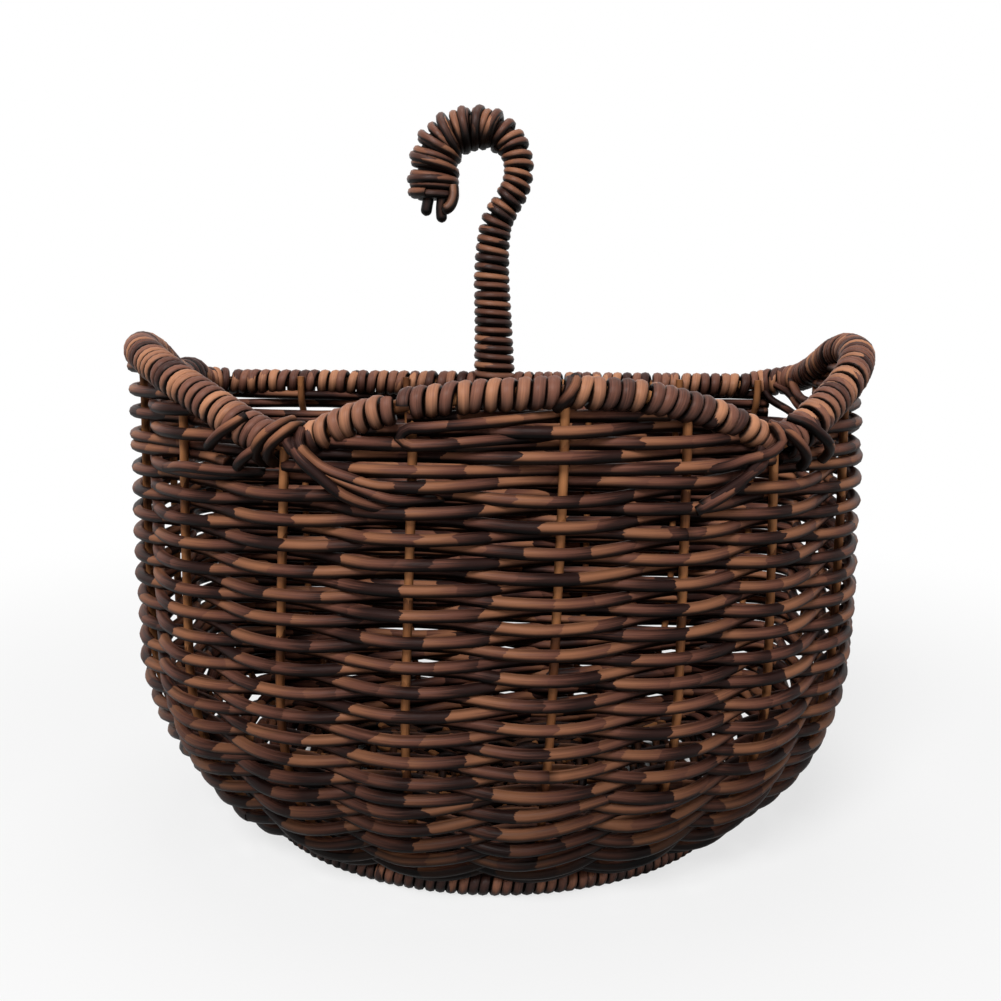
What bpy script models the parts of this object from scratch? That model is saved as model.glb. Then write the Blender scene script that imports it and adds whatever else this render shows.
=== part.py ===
"""A rattan wall basket: a half-round woven basket with a flat back and a wrapped hook.

The basket stands on a wrapped foot ring at Z = 0, with the middle of its box at X = Y = 0.
X runs to the right, Y runs back to the wall that it hangs on, Z runs up. The belly faces -Y.
"""

import math

import bpy
import numpy as np
from mathutils import Vector

# Clearance between canes that touch, and between the weavers and the stakes
GAP = 0.0003
WEAVE_GAP = 0.0004

# Canes
STAKE_DIAMETER = 0.0040
WEAVER_DIAMETER = 0.0045
ROW_PITCH = 0.00505
RIM_CANE_DIAMETER = 0.0055
RIM_BINDING_DIAMETER = 0.0122
EAR_BINDING_DIAMETER = 0.0152
RIM_RIB_PITCH = 0.0105
RIM_RIB_DEPTH = 0.0010
FOOT_CANE_DIAMETER = 0.0050
FOOT_BINDING_DIAMETER = 0.0125
FOOT_RIB_PITCH = 0.0180
FOOT_RIB_DEPTH = 0.0010
FOOT_FLAT_DEPTH = 0.0005
FOOT_OPENING = 0.0012
BORE_CLEARANCE = 0.0006
JOINT_GAP = 0.0010

# Plan of the wall, a D with a straight back, and how far the back lies behind the origin
BACK_PLANE = 0.0965
RIM_HALF_WIDTH = 0.168
BELLY_HALF_WIDTH = 0.1705
SEAT_HALF_WIDTH = 0.114
RIM_DEPTH = 0.199
BELLY_DEPTH = 0.200
SEAT_DEPTH = 0.160
CORNER_RADIUS = 0.022
SIDE_LENGTH = 0.062

# Heights of the belly and of the rim's centre line, which is level at the back
BELLY_HEIGHT = 0.097
BACK_HEIGHT = 0.2155
VALLEY_DROP = 0.0130
ARCH_RISE = 0.0100
EAR_RISE = 0.0285

# Stakes are counted from the hook at the back, leftwards round the basket
STAKE_COUNT = 18
FRONT_DRIFT = 0.023
STAKE_FOOT_LENGTH = 0.018

# Woven mat of the base, which lies inside the foot ring
MAT_THICKNESS = 0.0050

# Hook
HOOK_STEM_LENGTH = 0.0795
HOOK_STEM_OFFSET = -0.0025
HOOK_NECK_RADIUS = 0.030
HOOK_CROOK_RADIUS = 0.0235
HOOK_CROOK_OFFSET = -0.0115
HOOK_TIP_LENGTH = 0.016
HOOK_CORE_DIAMETER = 0.0090
HOOK_TIP_DIAMETER = 0.0160
HOOK_SCARF_LENGTH = 0.008
STEM_STRAND_DIAMETER = 0.0053
STEM_STRAND_PITCH = 0.0060
CROOK_STRAND_DIAMETER = 0.0043
CROOK_STRAND_PITCH = 0.0088

# Places along the rim, as shares of the stakes' spacing, and the shapes of its curves
ARCH_REACH_SHARE = 2.0
EAR_PEAK_SHARE = 4.2
EAR_CORNER_SHARE = 6.15
VALLEY_BREAK_SHARE = 0.11
CORNER_BREAK_SHARE = 0.045
ARCH_ROUND_SHARE = 0.75
EAR_FRONT_SHARE = 1.6
BOWL_SHARE = 1.6

# Steps of the curves
OUTLINE_STEPS = 48
BOWL_STEPS = 8
RIM_STEPS = 4
FOOT_STEPS = 3
COIL_STEPS = 8
ARC_STEPS = 20
WEAVER_TURNS = 3
MAX_FILLS = 20

VALLEY_HEIGHT = BACK_HEIGHT - VALLEY_DROP
ARCH_HEIGHT = BACK_HEIGHT + ARCH_RISE
EAR_HEIGHT = BACK_HEIGHT + EAR_RISE
HOOK_STEM_TOP = BACK_HEIGHT + HOOK_STEM_LENGTH
STAKE_RADIUS = STAKE_DIAMETER / 2
WEAVER_RADIUS = WEAVER_DIAMETER / 2
FOOT_RADIUS = FOOT_BINDING_DIAMETER / 2

# Half the height of a six-sided cane, as a share of its radius
FLAT_SHARE = math.cos(math.pi / 6)

FOOT_HEIGHT = FOOT_RADIUS * FLAT_SHARE - FOOT_FLAT_DEPTH
FOOT_TOP = FOOT_HEIGHT + FOOT_RADIUS * FLAT_SHARE
SEAT_HEIGHT = FOOT_TOP + GAP + STAKE_RADIUS
WEAVE_OFFSET = STAKE_RADIUS + WEAVE_GAP + WEAVER_RADIUS
FIRST_ROW_HEIGHT = SEAT_HEIGHT + WEAVE_OFFSET + GAP
FRONT_STAKE = STAKE_COUNT / 2

# Heights of the stakes' corners, closest together at the foot of the bowl
LEVELS = [SEAT_HEIGHT + (BELLY_HEIGHT - SEAT_HEIGHT) * (step / BOWL_STEPS) ** 2
          for step in range(BOWL_STEPS + 1)]
LEVELS += [(BELLY_HEIGHT + BACK_HEIGHT) / 2, BACK_HEIGHT]


def clear_scene():
    for thing in list(bpy.data.objects):
        bpy.data.objects.remove(thing, do_unlink=True)


def finish(name, colour, roughness):
    """A Principled material in one plain colour."""
    material = bpy.data.materials.new(name)
    material.use_nodes = True
    shader = material.node_tree.nodes["Principled BSDF"]
    shader.inputs["Base Color"].default_value = (*colour, 1)
    shader.inputs["Roughness"].default_value = roughness
    shader.inputs["Metallic"].default_value = 0
    return material


# Plan and profile of the wall

def outline(half_width, depth):
    """The D-shaped plan from the middle of the back, leftwards, with the length along it."""
    corner = CORNER_RADIUS * half_width / BELLY_HALF_WIDTH
    side = SIDE_LENGTH * depth / BELLY_DEPTH
    front = depth - corner - side
    flat = half_width - corner
    steps = np.linspace(0, 1, OUTLINE_STEPS)
    turn = steps * math.pi / 2
    sweep = np.linspace(0, 1, 4 * OUTLINE_STEPS) * math.pi
    parts = [
        np.column_stack([-flat * steps, 0 * steps]),
        np.column_stack([-flat - corner * np.sin(turn), corner * np.cos(turn) - corner]),
        np.column_stack([-half_width + 0 * steps, -corner - side * steps]),
        np.column_stack([-half_width * np.cos(sweep), -corner - side - front * np.sin(sweep)]),
        np.column_stack([half_width + 0 * steps, -corner - side * (1 - steps)]),
        np.column_stack([flat + corner * np.cos(turn), corner * np.sin(turn) - corner]),
        np.column_stack([flat * (1 - steps), 0 * steps]),
    ]
    points = np.vstack(parts)
    lengths = np.hypot(*np.diff(points, axis=0).T)
    return points, np.concatenate([[0], np.cumsum(lengths)])


BELLY_PERIMETER = outline(BELLY_HALF_WIDTH, BELLY_DEPTH)[1][-1]
STAKE_SPACING = BELLY_PERIMETER / STAKE_COUNT


def perimeter_share(place):
    """Share of the way round for a place counted in stakes; the front stakes drift rightwards."""
    drift = FRONT_DRIFT / BELLY_PERIMETER * (1 - math.cos(2 * math.pi * place / STAKE_COUNT)) / 2
    return (place / STAKE_COUNT + drift) % 1


def bowl(level, seat, belly, rim):
    """A half width or a depth at a level, from the seat out to the belly and in to the rim."""
    if level >= BELLY_HEIGHT:
        rise = (level - BELLY_HEIGHT) / (BACK_HEIGHT - BELLY_HEIGHT)
        return belly + (rim - belly) * rise ** 2
    drop = (BELLY_HEIGHT - level) / (BELLY_HEIGHT - SEAT_HEIGHT)
    return seat + (belly - seat) * math.sqrt(1 - drop ** BOWL_SHARE)


HALF_WIDTHS = [bowl(level, SEAT_HALF_WIDTH, BELLY_HALF_WIDTH, RIM_HALF_WIDTH) for level in LEVELS]
DEPTHS = [bowl(level, SEAT_DEPTH, BELLY_DEPTH, RIM_DEPTH) for level in LEVELS]


def wall(place, height):
    """Point in the middle of the wall."""
    points, lengths = outline(np.interp(height, LEVELS, HALF_WIDTHS), np.interp(height, LEVELS, DEPTHS))
    along = perimeter_share(place) * lengths[-1]
    return Vector((np.interp(along, lengths, points[:, 0]),
                   np.interp(along, lengths, points[:, 1]) + BACK_PLANE, height))


def wall_normal(place, height):
    """Outward direction of the wall at a point."""
    step = STAKE_RADIUS
    around = wall(place + step / BELLY_PERIMETER, height) - wall(place - step / BELLY_PERIMETER, height)
    up = wall(place, height + step) - wall(place, max(height - step, SEAT_HEIGHT))
    return around.cross(up).normalized()


def level_step(place, height):
    """Level step outwards that takes a point off the wall by one length, however the wall leans."""
    normal = wall_normal(place, height)
    level = Vector((normal.x, normal.y, 0))
    return level / level.length_squared


# Rim

def rim_height(place):
    """Height of the rim's centre line: a front arch, two valleys, two ears and a level back."""
    away = abs((place % STAKE_COUNT) - FRONT_STAKE)
    if away <= ARCH_REACH_SHARE:
        rise = (1 - (away / ARCH_REACH_SHARE) ** 2) ** ARCH_ROUND_SHARE
        return VALLEY_HEIGHT + (ARCH_HEIGHT - VALLEY_HEIGHT) * rise
    if away <= EAR_PEAK_SHARE:
        fall = ((EAR_PEAK_SHARE - away) / (EAR_PEAK_SHARE - ARCH_REACH_SHARE)) ** EAR_FRONT_SHARE
        return EAR_HEIGHT + (VALLEY_HEIGHT - EAR_HEIGHT) * fall
    if away <= EAR_CORNER_SHARE:
        fall = ((away - EAR_PEAK_SHARE) / (EAR_CORNER_SHARE - EAR_PEAK_SHARE)) ** 2
        return EAR_HEIGHT + (BACK_HEIGHT - EAR_HEIGHT) * fall
    return BACK_HEIGHT


def rim_corner(step):
    """Corner of the rim's centre line; the first and the last stop short of the hook."""
    point = wall(step / RIM_STEPS, BACK_HEIGHT)
    if step in (0, STAKE_COUNT * RIM_STEPS):
        side = -1 if step == 0 else 1
        point = Vector((HOOK_STEM_OFFSET + side * (HOOK_CORE_DIAMETER / 2 + GAP), BACK_PLANE, 0))
    point.z = rim_height(step / RIM_STEPS)
    return point


def rim_point(place):
    before = math.floor(place * RIM_STEPS)
    rest = place * RIM_STEPS - before
    if not rest:
        return rim_corner(before)
    return rim_corner(before).lerp(rim_corner(before + 1), rest)


def rim_path(start, end):
    """The rim's centre line between two places, with its corners."""
    corners = range(math.floor(start * RIM_STEPS) + 1, math.ceil(end * RIM_STEPS))
    return [rim_point(start)] + [rim_corner(step) for step in corners] + [rim_point(end)]


def rim_radius(place):
    """Half the rim's thickness: bound thickest over the ears and bare in the valleys."""
    away = abs((place % STAKE_COUNT) - FRONT_STAKE)
    if abs(away - ARCH_REACH_SHARE) < VALLEY_BREAK_SHARE / 2:
        return RIM_CANE_DIAMETER / 2
    if ARCH_REACH_SHARE < away < EAR_CORNER_SHARE + CORNER_BREAK_SHARE:
        return EAR_BINDING_DIAMETER / 2 * FLAT_SHARE
    return RIM_BINDING_DIAMETER / 2 * FLAT_SHARE


def under_rim(place, reach):
    """Greatest height of a cane below the rim, where it reaches as far to either side."""
    heights = []
    for side in (-1, 0, 1):
        spot = place + side * reach / STAKE_SPACING
        slope = (rim_height(spot + 1 / RIM_STEPS) - rim_height(spot - 1 / RIM_STEPS))
        slope *= RIM_STEPS / 2 / STAKE_SPACING
        heights.append(rim_height(spot) - (rim_radius(place) + GAP) * math.hypot(1, slope))
    return min(heights)


# Canes and bindings

def cane(name, strands, diameter, material, rounds, closed=False, upright=False):
    """One object of round canes. A strand is a list of points or of (point, radius share)."""
    curve = bpy.data.curves.new(name, "CURVE")
    curve.dimensions = "3D"
    curve.fill_mode = "FULL"
    curve.bevel_depth = diameter / 2
    curve.bevel_resolution = rounds
    curve.use_fill_caps = True
    curve.twist_mode = "Z_UP" if upright else "MINIMUM"
    for strand in strands:
        spline = curve.splines.new("POLY")
        spline.points.add(len(strand) - 1)
        for spot, item in zip(spline.points, strand):
            point, swell = item if isinstance(item, tuple) else (item, 1)
            spot.co = (*point, 1)
            spot.radius = swell
        spline.use_cyclic_u = closed
        spline.use_smooth = True
    thing = bpy.data.objects.new(name, curve)
    bpy.context.collection.objects.link(thing)
    curve.materials.append(material)
    return thing


def as_mesh(thing):
    """Turns a cane into a mesh object of the same name."""
    bpy.context.view_layer.update()
    seen = thing.evaluated_get(bpy.context.evaluated_depsgraph_get())
    mesh = bpy.data.meshes.new_from_object(seen)
    name = thing.name
    bpy.data.objects.remove(thing, do_unlink=True)
    mesh.name = name
    solid = bpy.data.objects.new(name, mesh)
    bpy.context.collection.objects.link(solid)
    return solid


def cut(solid, cutter):
    """Cuts one mesh object out of another; the cutter stays as a hidden guide."""
    cutter.hide_render = True
    cutter.display_type = "WIRE"
    modifier = solid.modifiers.new("cut_" + cutter.name, "BOOLEAN")
    modifier.operation = "DIFFERENCE"
    modifier.object = cutter


def block(name, low, high):
    """A box between two corners."""
    corners = [(x, y, z) for x in (low[0], high[0]) for y in (low[1], high[1]) for z in (low[2], high[2])]
    faces = [(0, 1, 3, 2), (4, 6, 7, 5), (0, 4, 5, 1), (2, 3, 7, 6), (0, 2, 6, 4), (1, 5, 7, 3)]
    mesh = bpy.data.meshes.new(name)
    mesh.from_pydata(corners, [], faces)
    thing = bpy.data.objects.new(name, mesh)
    bpy.context.collection.objects.link(thing)
    return thing


def walk(points, spacing):
    """Points at an even spacing, and at both ends, along a run of points."""
    table = np.array(points)
    lengths = np.concatenate([[0], np.cumsum(np.linalg.norm(np.diff(table[:, :3], axis=0), axis=1))])
    marks = np.linspace(0, lengths[-1], max(2, round(lengths[-1] / spacing)) + 1)
    return [Vector([np.interp(mark, lengths, column) for column in table.T]) for mark in marks]


def bound(name, path, diameter, rib_pitch, rib_depth, bore_path, bore_diameter, material):
    """A binding drawn as a ribbed sleeve along a path, with the bore of the cane inside it."""
    valley = 1 - 2 * rib_depth / diameter
    ribs = [(point, 1 if number % 2 else valley)
            for number, point in enumerate(walk(path, rib_pitch / 2))]
    sleeve = as_mesh(cane(name, [ribs], diameter, material, 1, upright=True))
    bore = as_mesh(cane(name + "_bore", [bore_path], bore_diameter, material, 1, upright=True))
    cut(sleeve, bore)
    return sleeve


# Stakes and weavers

def stake_path(number):
    """A stake: a foot that lies on the foot ring, then up the wall to the rim."""
    foot = wall(number, SEAT_HEIGHT) - level_step(number, BELLY_HEIGHT) * STAKE_FOOT_LENGTH
    top = under_rim(number, STAKE_RADIUS)
    rise = [wall(number, level) for level in LEVELS if level < top]
    return [foot] + rise + [wall(number, top)]


def row_height(row, place):
    """Height of a row, which climbs two rows' pitch in each turn, as two weavers do in turns."""
    return FIRST_ROW_HEIGHT + ROW_PITCH * (row + 2 * place / STAKE_COUNT)


def weave_point(row, place):
    """Point of a row: outside and inside the stakes by turns, and half way between at the gaps."""
    height = row_height(row, place)
    offset = WEAVE_OFFSET * math.cos(math.pi * (place + row))
    return wall(place, height) + level_step(place, height) * offset


def bows(number, row):
    """Whether the wall bows out between two stakes by more than a weaver's diameter."""
    height = row_height(row, number)
    chord = (wall(number, height) + wall(number + 1, height)) / 2
    return (wall(number + 0.5, height) - chord).length > WEAVER_DIAMETER


def weave(row, start, end):
    """A row between two places, one point to a stake and one more where the wall bows out."""
    low, high = min(start, end), max(start, end)
    places = {start, end} | set(range(math.ceil(low), math.floor(high) + 1))
    for number in range(math.floor(low), math.ceil(high)):
        if bows(number, row) and low < number + 0.5 < high:
            places.add(number + 0.5)
    places = sorted(places, reverse=bool(end < start))
    points = [weave_point(row, place) for place in places]
    return [stand_off(point, wall(place, row_height(row, place)), points[max(index - 1, 0):index + 2])
            if place == round(place) else point
            for index, (place, point) in enumerate(zip(places, points))]


def stand_off(point, centre, others):
    """Moves a weaver's corner away from a stake, so that both runs from it clear the stake too."""
    away = point - centre
    sines = [1]
    for other in others:
        run = other - point
        if run.dot(away) < 0:
            sines.append(math.sin(run.angle(-away)))
    return centre + away / min(sines)


def turn_back(row, number, forwards):
    """Points that take a weaver round a stake, from one row to the next."""
    points = []
    radius = WEAVE_OFFSET / math.cos(math.pi / 8)
    side = 1 if (number + row) % 2 == 0 else -1
    for step in (1, 2, 3):
        angle = math.pi / 2 - step * math.pi / 4
        height = row_height(row, number) + ROW_PITCH * step / 4
        normal = level_step(number, height)
        along = normal.cross(Vector((0, 0, 1))).normalized()
        if along.dot(wall(number + 0.5, height) - wall(number, height)) < 0:
            along.negate()
        reach = radius * math.cos(angle) * (1 if forwards else -1)
        points.append(wall(number, height) + along * reach + normal * radius * math.sin(angle) * side)
    return points


def spans(row, low, high):
    """The stretches of a row between two places where it lies below the rim's binding."""
    steps = 6 * RIM_STEPS
    found = []
    start = None
    for step in range(round(low * steps), round(high * steps) + 1):
        place = step / steps
        fits = under_rim(place, WEAVER_RADIUS) >= row_height(row, place) + WEAVER_RADIUS
        if fits and start is None:
            start = place
        if start is not None and not fits:
            found.append((start, place - 1 / steps))
            start = None
    room = 2 * WEAVE_OFFSET / STAKE_SPACING
    return [(start, end) for start, end in found if math.floor(end - room) >= math.ceil(start + room)]


def fill(rows):
    """One weaver that goes to and fro over rows of (row, start, end), turning round the stakes."""
    room = 2 * WEAVE_OFFSET / STAKE_SPACING
    points = []
    place = rows[0][1]
    for number, (row, start, end) in enumerate(rows):
        forwards = number % 2 == 0
        if number + 1 < len(rows):
            _, next_start, next_end = rows[number + 1]
            stop = math.floor(min(end, next_end) - room) if forwards else math.ceil(max(start, next_start) + room)
            points += weave(row, place, stop) + turn_back(row, stop, forwards)
            place = stop
        else:
            points += weave(row, place, end if forwards else start)
    return points


# Hook

def hook_line(steps):
    """Centre line of the hook: a neck that leans right, a crook to the left and a tip."""
    stem = HOOK_STEM_OFFSET
    centre_x = HOOK_CROOK_OFFSET
    reach = HOOK_CROOK_RADIUS + HOOK_NECK_RADIUS
    lean = math.acos((stem + HOOK_NECK_RADIUS - centre_x) / reach)
    centre_z = HOOK_STEM_TOP + reach * math.sin(lean)
    points = [Vector((stem, BACK_PLANE, HOOK_STEM_TOP))]
    for step in range(1, steps // 2 + 1):
        angle = math.pi - lean * step * 2 / steps
        points.append(Vector((stem + HOOK_NECK_RADIUS * (1 + math.cos(angle)), BACK_PLANE,
                              HOOK_STEM_TOP + HOOK_NECK_RADIUS * math.sin(angle))))
    for step in range(1, steps + 1):
        angle = -lean + (math.pi + lean) * step / steps
        points.append(Vector((centre_x + HOOK_CROOK_RADIUS * math.cos(angle), BACK_PLANE,
                              centre_z + HOOK_CROOK_RADIUS * math.sin(angle))))
    points.append(points[-1] - Vector((0, 0, HOOK_TIP_LENGTH)))
    return points


def coil(name, path, strand, pitch, material):
    """A strand wound round a path of (x, y, z, core radius) as one unbroken tube."""
    tightness = math.cos(math.pi / COIL_STEPS)
    depth = Vector((0, 1, 0))
    line = walk(path, pitch / COIL_STEPS)
    last = len(line) - 1
    points = []
    for number, spot in enumerate(line):
        along = line[min(number + 1, last)].xyz - line[max(number - 1, 0)].xyz
        side = along.cross(depth).normalized()
        radius = (spot.w + GAP + strand / 2) / tightness
        turn = 2 * math.pi * number / COIL_STEPS
        points.append(spot.xyz + (side * math.cos(turn) + depth * math.sin(turn)) * radius)
    cane(name, [points], strand, material, 1)
    print(name, "turns", round(last / COIL_STEPS, 1), "least gap to itself", least_gap(points, strand))


def least_gap(points, strand):
    """Least gap between parts of a wound tube that are at least half a turn apart."""
    fine = []
    for near, far in zip(points, points[1:]):
        fine += [near.lerp(far, step / COIL_STEPS) for step in range(COIL_STEPS)]
    table = np.array(fine)
    apart = COIL_STEPS * COIL_STEPS // 2
    least = min(np.linalg.norm(table[number + apart:] - table[number], axis=1).min()
                for number in range(len(table) - apart))
    return least - strand


# The basket

def build():
    clear_scene()
    stained = finish("stained_cane", (0.105, 0.045, 0.026), 0.42)
    honey = finish("honey_cane", (0.26, 0.11, 0.025), 0.45)
    tan = finish("rim_cane", (0.20, 0.085, 0.045), 0.40)
    dark = finish("dark_cane", (0.050, 0.024, 0.016), 0.45)

    for number in range(1, STAKE_COUNT):
        cane(f"stake_{number:02d}", [stake_path(number)], STAKE_DIAMETER, honey, 1)

    build_weave(stained)
    build_rim(honey, tan)
    build_foot(honey, dark)
    build_hook(honey, stained)


def build_weave(stained):
    """Two weavers that climb in turns up to the valleys, and the fills under the arch and ears."""
    left, right = FRONT_STAKE - ARCH_REACH_SHARE, FRONT_STAKE + ARCH_REACH_SHARE
    top = VALLEY_HEIGHT - EAR_BINDING_DIAMETER / 2 * FLAT_SHARE - GAP - WEAVER_RADIUS
    past_left = math.floor((top - row_height(0, left)) / ROW_PITCH)
    past_right = math.floor((top - row_height(0, right)) / ROW_PITCH)
    ending = 2 * VALLEY_BREAK_SHARE
    for family in (0, 1):
        turn = (past_right - family) // 2
        end = (turn + 1) * STAKE_COUNT + left - ending
        if family + 2 * (turn + 1) <= past_left:
            end += right - left
        length = WEAVER_TURNS * STAKE_COUNT
        for number in range(math.ceil(end / length)):
            start = number * length
            stop = min(start + length - JOINT_GAP / STAKE_SPACING, end)
            cane(f"weaver_{'ab'[family]}{number + 1}", [weave(family, start, stop)],
                 WEAVER_DIAMETER, stained, 0, upright=True)

    arch = [(row, *span) for row in range(past_left + 1, past_left + MAX_FILLS)
            for span in spans(row, left + VALLEY_BREAK_SHARE, right - VALLEY_BREAK_SHARE)]
    rest = [(row, *span) for row in range(past_right + 1, past_right + MAX_FILLS)
            for span in spans(row, right + VALLEY_BREAK_SHARE, left + STAKE_COUNT - VALLEY_BREAK_SHARE)]
    fills = {
        "arch_fill": arch,
        "back_fill": [item for item in rest if item[1] < STAKE_COUNT < item[2]],
        "right_ear_fill": [item for item in rest if item[2] < STAKE_COUNT],
        "left_ear_fill": [item for item in rest if item[1] > STAKE_COUNT],
    }
    for name, rows in fills.items():
        cane(name, [fill(rows)], WEAVER_DIAMETER, stained, 0, upright=True)


def build_rim(honey, tan):
    """The rim cane, which starts and ends at the hook, and its bindings."""
    corner = FRONT_STAKE - EAR_CORNER_SHARE
    valley = FRONT_STAKE - ARCH_REACH_SHARE
    last = STAKE_COUNT
    cane("rim_cane", [rim_path(0, last)], RIM_CANE_DIAMETER, honey, 1, upright=True)
    stretches = {
        "back_left_binding": (0, corner - CORNER_BREAK_SHARE),
        "left_ear_binding": (corner + CORNER_BREAK_SHARE, valley - VALLEY_BREAK_SHARE),
        "arch_binding": (valley + VALLEY_BREAK_SHARE, last - valley - VALLEY_BREAK_SHARE),
        "right_ear_binding": (last - valley + VALLEY_BREAK_SHARE, last - corner - CORNER_BREAK_SHARE),
        "back_right_binding": (last - corner + CORNER_BREAK_SHARE, last),
    }
    for name, (start, end) in stretches.items():
        bore_path = rim_path(start, end)
        over = RIM_CANE_DIAMETER / 2
        bore_path[0] += (bore_path[0] - bore_path[1]).normalized() * over
        bore_path[-1] += (bore_path[-1] - bore_path[-2]).normalized() * over
        diameter = EAR_BINDING_DIAMETER if "ear" in name else RIM_BINDING_DIAMETER
        bound(name, rim_path(start, end), diameter, RIM_RIB_PITCH, RIM_RIB_DEPTH,
              bore_path, RIM_CANE_DIAMETER + 2 * BORE_CLEARANCE, tan)


def build_foot(honey, dark):
    """The foot ring with its binding, cut flat underneath, and the mat inside it."""
    places = [step / FOOT_STEPS for step in range(STAKE_COUNT * FOOT_STEPS)]
    ring = [wall(place, SEAT_HEIGHT) for place in places]
    for point in ring:
        point.z = FOOT_HEIGHT
    cane("foot_cane", [ring], FOOT_CANE_DIAMETER, honey, 1, True, True)
    opening = Vector((FOOT_OPENING / 2, 0, 0))
    path = [ring[0] - opening] + ring[1:] + [ring[0] + opening]
    bore_path = [ring[0] - opening / 2] + ring[1:] + [ring[0] + opening / 2]
    binding = bound("foot_binding", path, FOOT_BINDING_DIAMETER, FOOT_RIB_PITCH, FOOT_RIB_DEPTH,
                    bore_path, FOOT_CANE_DIAMETER + 2 * BORE_CLEARANCE, dark)
    reach = BELLY_HALF_WIDTH + BELLY_DEPTH
    cut(binding, block("foot_flat", (-reach, -reach, -FOOT_RADIUS), (reach, reach, 0)))

    inset = FOOT_RADIUS / FLAT_SHARE + GAP
    count = len(ring)
    edge = []
    for n, point in enumerate(ring):
        before = (point - ring[n - 1]).normalized()
        after = (ring[(n + 1) % count] - point).normalized()
        turn = (before + after) / (1 + before.dot(after))
        edge.append(point + Vector((-turn.y, turn.x, 0)) * inset)
    verts = [(point.x, point.y, FOOT_TOP - MAT_THICKNESS) for point in edge]
    verts += [(point.x, point.y, FOOT_TOP) for point in edge]
    faces = [tuple(range(count - 1, -1, -1)), tuple(range(count, 2 * count))]
    faces += [(n, (n + 1) % count, (n + 1) % count + count, n + count) for n in range(count)]
    mesh = bpy.data.meshes.new("base_mat")
    mesh.from_pydata(verts, [], faces)
    mesh.materials.append(dark)
    bpy.context.collection.objects.link(bpy.data.objects.new("base_mat", mesh))


def swelling(points):
    """The hook's points with the core's radius, which grows towards the tip."""
    lengths = np.cumsum([0] + [(far - near).length for near, far in zip(points, points[1:])])
    radii = np.interp(lengths / lengths[-1], (0, 1), (HOOK_CORE_DIAMETER / 2, HOOK_TIP_DIAMETER / 2))
    return [(*point, radius) for point, radius in zip(points, radii)]


def build_hook(honey, stained):
    """The hook's core, which is also the middle stake of the back, and its two windings."""
    core = HOOK_CORE_DIAMETER / 2
    thin = STAKE_RADIUS / core
    scarf = Vector((HOOK_STEM_OFFSET, BACK_PLANE, under_rim(0, STAKE_RADIUS) + HOOK_SCARF_LENGTH))
    shaft = [(point, thin) for point in stake_path(0)] + [(scarf, 1)]
    shaft += [(Vector(spot[:3]), spot[3] / core) for spot in swelling(hook_line(ARC_STEPS))]
    cane("hook_core", [shaft], HOOK_CORE_DIAMETER, honey, 1)

    base = BACK_HEIGHT + rim_radius(0) + GAP + STEM_STRAND_DIAMETER / 2
    stem = [(HOOK_STEM_OFFSET, BACK_PLANE, height, core) for height in (base, HOOK_STEM_TOP)]
    coil("hook_stem_winding", stem, STEM_STRAND_DIAMETER, STEM_STRAND_PITCH, stained)
    line = walk(swelling(hook_line(ARC_STEPS * COIL_STEPS)), CROOK_STRAND_PITCH / COIL_STEPS)
    first = math.ceil((STEM_STRAND_DIAMETER + CROOK_STRAND_DIAMETER) / CROOK_STRAND_PITCH * COIL_STEPS / 2) + 1
    coil("hook_crook_winding", line[first:-1], CROOK_STRAND_DIAMETER, CROOK_STRAND_PITCH, stained)


build()
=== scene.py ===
import math

import bpy
import numpy as np
from mathutils import Matrix, Vector


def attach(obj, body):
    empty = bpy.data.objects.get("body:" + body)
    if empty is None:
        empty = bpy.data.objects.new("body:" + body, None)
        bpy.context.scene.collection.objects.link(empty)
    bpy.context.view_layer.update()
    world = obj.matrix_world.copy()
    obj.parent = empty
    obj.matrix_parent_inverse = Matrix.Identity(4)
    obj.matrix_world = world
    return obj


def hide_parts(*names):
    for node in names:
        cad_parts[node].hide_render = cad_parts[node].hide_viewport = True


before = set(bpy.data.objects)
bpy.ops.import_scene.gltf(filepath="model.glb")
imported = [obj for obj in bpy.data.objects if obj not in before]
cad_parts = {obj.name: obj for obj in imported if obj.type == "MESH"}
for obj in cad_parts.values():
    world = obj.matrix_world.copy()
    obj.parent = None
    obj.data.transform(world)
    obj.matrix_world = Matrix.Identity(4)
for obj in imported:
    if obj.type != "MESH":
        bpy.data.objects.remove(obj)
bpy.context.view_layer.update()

# Plan and profile of the wall, in metres
BACK_PLANE = 0.0965
RIM_HALF_WIDTH, BELLY_HALF_WIDTH, SEAT_HALF_WIDTH = 0.168, 0.1705, 0.114
RIM_DEPTH, BELLY_DEPTH, SEAT_DEPTH = 0.199, 0.200, 0.160
CORNER_RADIUS, SIDE_LENGTH = 0.022, 0.062
SEAT_HEIGHT, BELLY_HEIGHT, BACK_HEIGHT = 0.0126, 0.097, 0.2155
FOOT_HALF_WIDTH, FOOT_DEPTH = 0.119, 0.1655
BOWL_SHARE = 1.6
STAKES = 18
FRONT_DRIFT = 0.023

# The weave. Places and lengths along the wall are counted in stakes
STAKE_RADIUS = 0.0019
WEAVER_RADIUS = 0.00258
WEAVE_SWING = STAKE_RADIUS + WEAVER_RADIUS - 0.0002
WEAVE_SAG = 0.17
WEAVE_TWIST = 0.0026
WEAVE_WANDER = 0.0022
WEAVE_STEP = 0.085
WEAVE_START, WEAVE_END = -48.9, 6.6
SHORTEST_CANE, CANE_SPREAD = 45, 16
FIRST_ROW = 0.0199
ROW_PITCH = 0.005065
TWINE_BASE = 0.0245
TWINE_PITCH = 0.0094
TWINE_TURNS = 4.5
FIRST_PLAIN_ROW, FIRST_SHORT_ROW = 8, 34
CHANGE_LEAD, CHANGE_LENGTH = 4, 5
CLIMB_TURNS, LEAST_CLIMB = 3, 0.14
SWING_LEAD, LEAST_SWING = 6, 0.35
BACK_EXTRA, TWINE_EXTRA = 0.10, 0.22
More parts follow.
